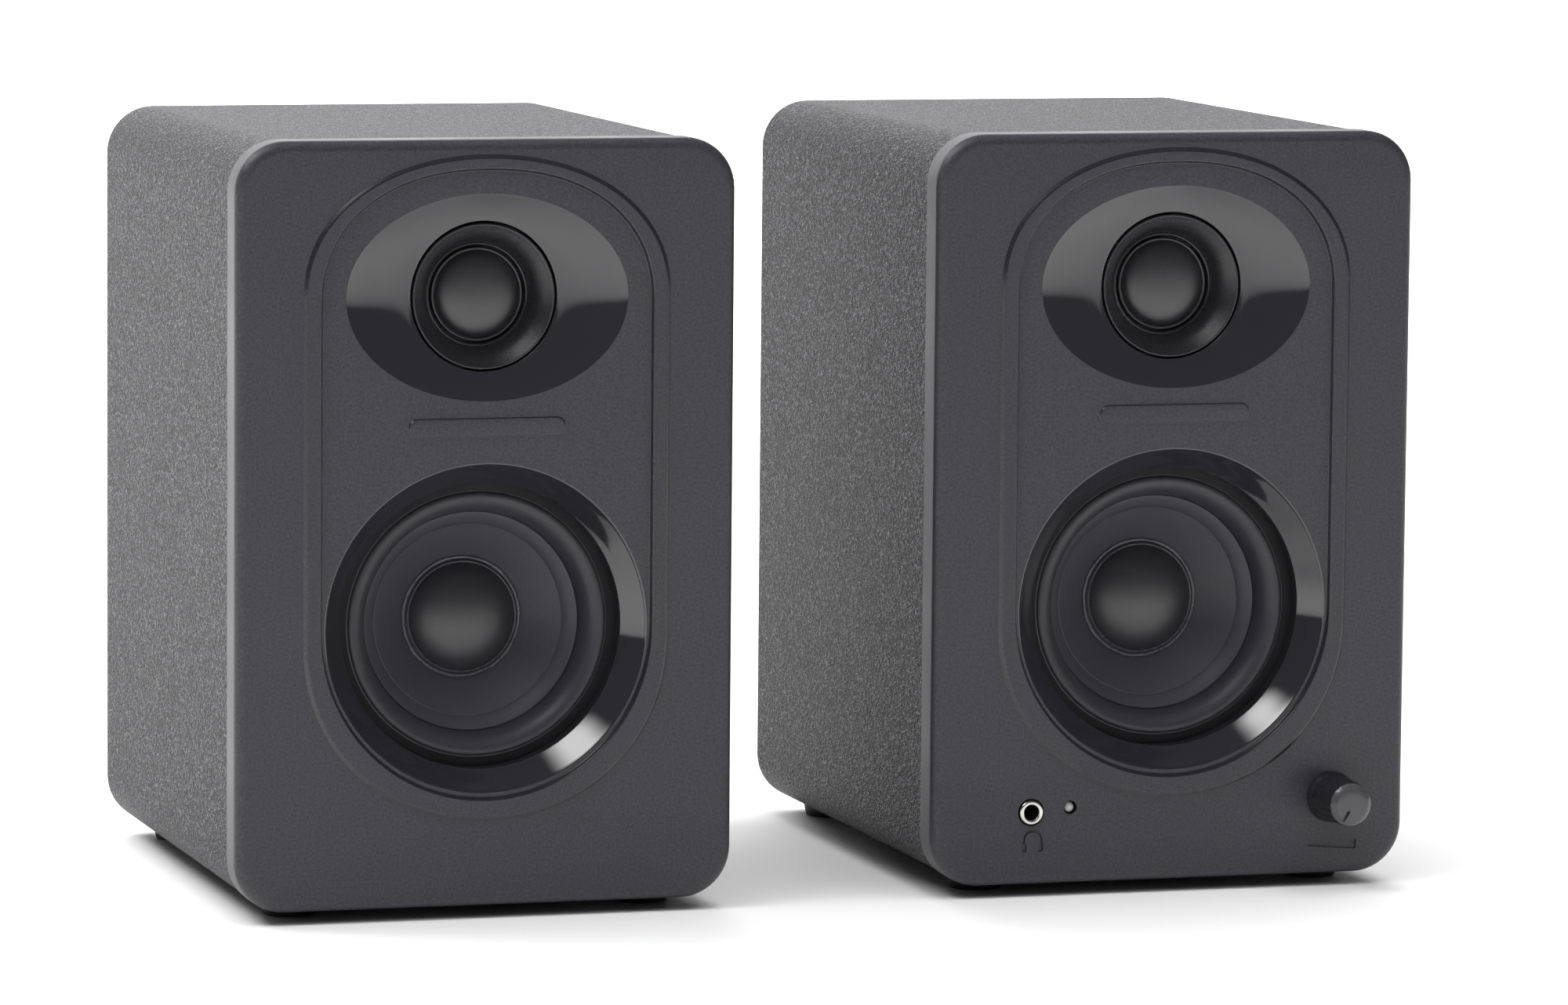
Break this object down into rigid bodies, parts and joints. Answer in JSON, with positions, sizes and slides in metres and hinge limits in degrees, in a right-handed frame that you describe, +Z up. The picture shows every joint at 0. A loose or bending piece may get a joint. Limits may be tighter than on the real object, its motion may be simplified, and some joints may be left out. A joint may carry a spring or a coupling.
{
  "type": "pair of desktop speakers",
  "caption": "Pair of compact two-way desktop speakers with rounded fronts: an active one with volume knob, power light and headphone jack, and a passive one.",
  "frame": {"origin": "middle of the pair's footprint, on the surface that the rubber feet stand on", "axes": "+Z up; the fronts face -Y; the active speaker is at +X and the passive one at -X"},
  "size_m": [0.338, 0.2004, 0.2135],
  "materials": {
    "cabinet_vinyl": "black vinyl wrap with a fine pebbled grain over board",
    "front_moulding": "fine satin texture, gloss in the tweeter bowl and the woofer ring",
    "satin_black_plastic": "satin",
    "black_rubber": "satin",
    "coated_cone": "matte",
    "coated_silk": "satin coated",
    "painted_steel": "semi-gloss black",
    "plated_steel": "zinc plated",
    "ferrite": "matte",
    "copper_winding": "enamelled copper wire",
    "spider_cloth": "resin-dipped cloth",
    "anodised_aluminium": "black anodised",
    "bare_aluminium": "extruded",
    "red_plastic": "semi-gloss",
    "white_plastic": "semi-gloss",
    "black_plastic": "satin",
    "circuit_board": "green solder mask",
    "nickel": "bright nickel plate",
    "led_lens": "clear, unlit",
    "capacitor_sleeve": "shrink sleeve"
  },
  "bodies": {
    "passive_woofer_diaphragm": {"passive_woofer_cone": "coated_cone", "passive_dust_cap": "coated_cone", "passive_voice_coil": "copper_winding"},
    "passive_tweeter_diaphragm": {"passive_tweeter_dome": "coated_silk"},
    "passive_terminal_lever_red": {"passive_lever_red": "red_plastic"},
    "passive_terminal_lever_black": {"passive_lever_black": "black_plastic"},
    "active_woofer_diaphragm": {"active_woofer_cone": "coated_cone", "active_dust_cap": "coated_cone", "active_voice_coil": "copper_winding"},
    "active_tweeter_diaphragm": {"active_tweeter_dome": "coated_silk"},
    "active_terminal_lever_red": {"active_lever_red": "red_plastic"},
    "active_terminal_lever_black": {"active_lever_black": "black_plastic"},
    "volume_control": {"active_volume_knob": "satin_black_plastic", "active_pot_shaft": "nickel"},
    "power_rocker": {"active_power_rocker": "black_plastic"},
    "passive_speaker": {"passive_baffle": "front_moulding", "passive_cabinet": "cabinet_vinyl", "passive_crossover_capacitor": "capacitor_sleeve", "passive_foot_front_left": "black_rubber", "passive_foot_front_right": "black_rubber", "passive_foot_rear_left": "black_rubber", "passive_foot_rear_right": "black_rubber", "passive_magnet": "ferrite", "passive_port_tube": "black_plastic", "passive_spider": "spider_cloth", "passive_terminal_block": "black_plastic", "passive_top_plate": "plated_steel", "passive_tweeter_faceplate": "satin_black_plastic", "passive_tweeter_motor": "painted_steel", "passive_woofer_basket": "painted_steel", "passive_woofer_surround": "black_rubber", "passive_yoke": "plated_steel"},
    "active_speaker": {"active_amp_board": "circuit_board", "active_amp_plate": "anodised_aluminium", "active_baffle": "front_moulding", "active_cabinet": "cabinet_vinyl", "active_control_board": "circuit_board", "active_foot_front_left": "black_rubber", "active_foot_front_right": "black_rubber", "active_foot_rear_left": "black_rubber", "active_foot_rear_right": "black_rubber", "active_headphone_jack": "nickel", "active_heatsink": "bare_aluminium", "active_input_jack_red": "red_plastic", "active_input_jack_white": "white_plastic", "active_magnet": "ferrite", "active_mains_inlet": "black_plastic", "active_port_tube": "black_plastic", "active_power_led": "led_lens", "active_spider": "spider_cloth", "active_switch_body": "black_plastic", "active_terminal_block": "black_plastic", "active_top_plate": "plated_steel", "active_transformer": "painted_steel", "active_tweeter_faceplate": "satin_black_plastic", "active_tweeter_motor": "painted_steel", "active_volume_pot": "plated_steel", "active_woofer_basket": "painted_steel", "active_woofer_surround": "black_rubber", "active_yoke": "plated_steel"}
  },
  "joints": [
    {"name": "speaker_spacing", "type": "slide", "parent": "active_speaker", "child": "passive_speaker", "axis": [-1, 0, 0], "range_m": [-0.045, 0.15]},
    {"name": "passive_woofer_stroke", "type": "slide", "parent": "passive_speaker", "child": "passive_woofer_diaphragm", "axis": [0, -1, 0], "range_m": [-0.0025, 0.0025], "stiffness_N_per_m": 1500, "deforming": ["passive_woofer_surround", "passive_spider"]},
    {"name": "passive_tweeter_stroke", "type": "slide", "parent": "passive_speaker", "child": "passive_tweeter_diaphragm", "axis": [0, -1, 0], "range_m": [-0.0003, 0.0003], "stiffness_N_per_m": 1000},
    {"name": "active_woofer_stroke", "type": "slide", "parent": "active_speaker", "child": "active_woofer_diaphragm", "axis": [0, -1, 0], "range_m": [-0.0025, 0.0025], "stiffness_N_per_m": 1500, "deforming": ["active_woofer_surround", "active_spider"]},
    {"name": "active_tweeter_stroke", "type": "slide", "parent": "active_speaker", "child": "active_tweeter_diaphragm", "axis": [0, -1, 0], "range_m": [-0.0003, 0.0003], "stiffness_N_per_m": 1000},
    {"name": "passive_red_lever_press", "type": "hinge", "parent": "passive_speaker", "child": "passive_terminal_lever_red", "pos_m": [-0.1075, 0.0935, 0.0812], "axis": [-1, 0, 0], "range_deg": [0, 15], "stiffness_Nm_per_rad": 0.08},
    {"name": "passive_black_lever_press", "type": "hinge", "parent": "passive_speaker", "child": "passive_terminal_lever_black", "pos_m": [-0.0905, 0.0935, 0.0812], "axis": [-1, 0, 0], "range_deg": [0, 15], "stiffness_Nm_per_rad": 0.08},
    {"name": "active_red_lever_press", "type": "hinge", "parent": "active_speaker", "child": "active_terminal_lever_red", "pos_m": [0.1055, 0.0935, 0.1392], "axis": [-1, 0, 0], "range_deg": [0, 15], "stiffness_Nm_per_rad": 0.08},
    {"name": "active_black_lever_press", "type": "hinge", "parent": "active_speaker", "child": "active_terminal_lever_black", "pos_m": [0.1225, 0.0935, 0.1392], "axis": [-1, 0, 0], "range_deg": [0, 15], "stiffness_Nm_per_rad": 0.08},
    {"name": "volume_turn", "type": "hinge", "parent": "active_speaker", "child": "volume_control", "pos_m": [0.147, -0.0908, 0.0255], "axis": [0, 1, 0], "range_deg": [0, 300]},
    {"name": "power_switch", "type": "hinge", "parent": "active_speaker", "child": "power_rocker", "pos_m": [0.063, 0.0932, 0.0415], "axis": [1, 0, 0], "range_deg": [0, 16]}
  ]
}
